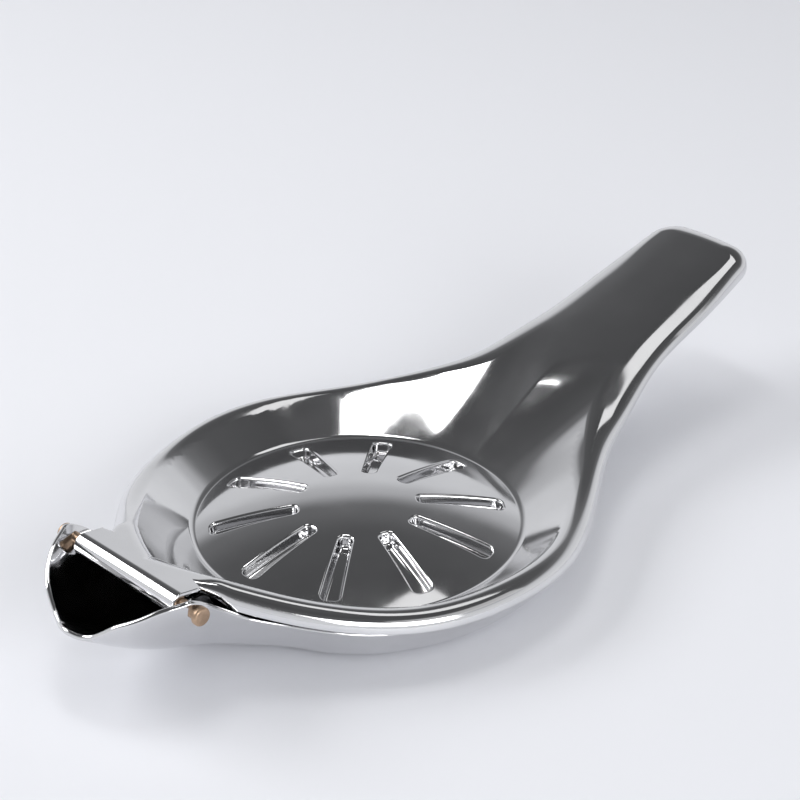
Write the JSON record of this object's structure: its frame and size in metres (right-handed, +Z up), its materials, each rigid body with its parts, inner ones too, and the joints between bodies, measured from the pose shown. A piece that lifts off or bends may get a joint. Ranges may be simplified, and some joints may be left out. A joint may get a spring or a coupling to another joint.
{
  "type": "hinged lemon squeezer",
  "caption": "Hand-held citrus press of two nesting stamped steel shells joined by a hinge pin, with a round ribbed press floor, pouring beak and channel handle.",
  "frame": {"origin": "on the table, under the centre of the round press floor, at the lower shell's flat foot", "axes": "+X from the hinge towards the handle's end, +Y across, +Z up"},
  "size_m": [0.1488, 0.0746, 0.0278],
  "materials": {
    "press_steel": "mirror-polished stainless steel",
    "base_steel": "mirror-polished stainless steel",
    "pin_metal": "satin copper-coloured rivet wire"
  },
  "bodies": {
    "base": {"lower_shell": "base_steel", "hinge_pin": "pin_metal"},
    "press": {"upper_shell": "press_steel"}
  },
  "joints": [
    {"name": "press_hinge", "type": "hinge", "parent": "base", "child": "press", "pos_m": [-0.0462, 0, 0.01725], "axis": [0, -1, 0], "range_deg": [0, 165]}
  ]
}
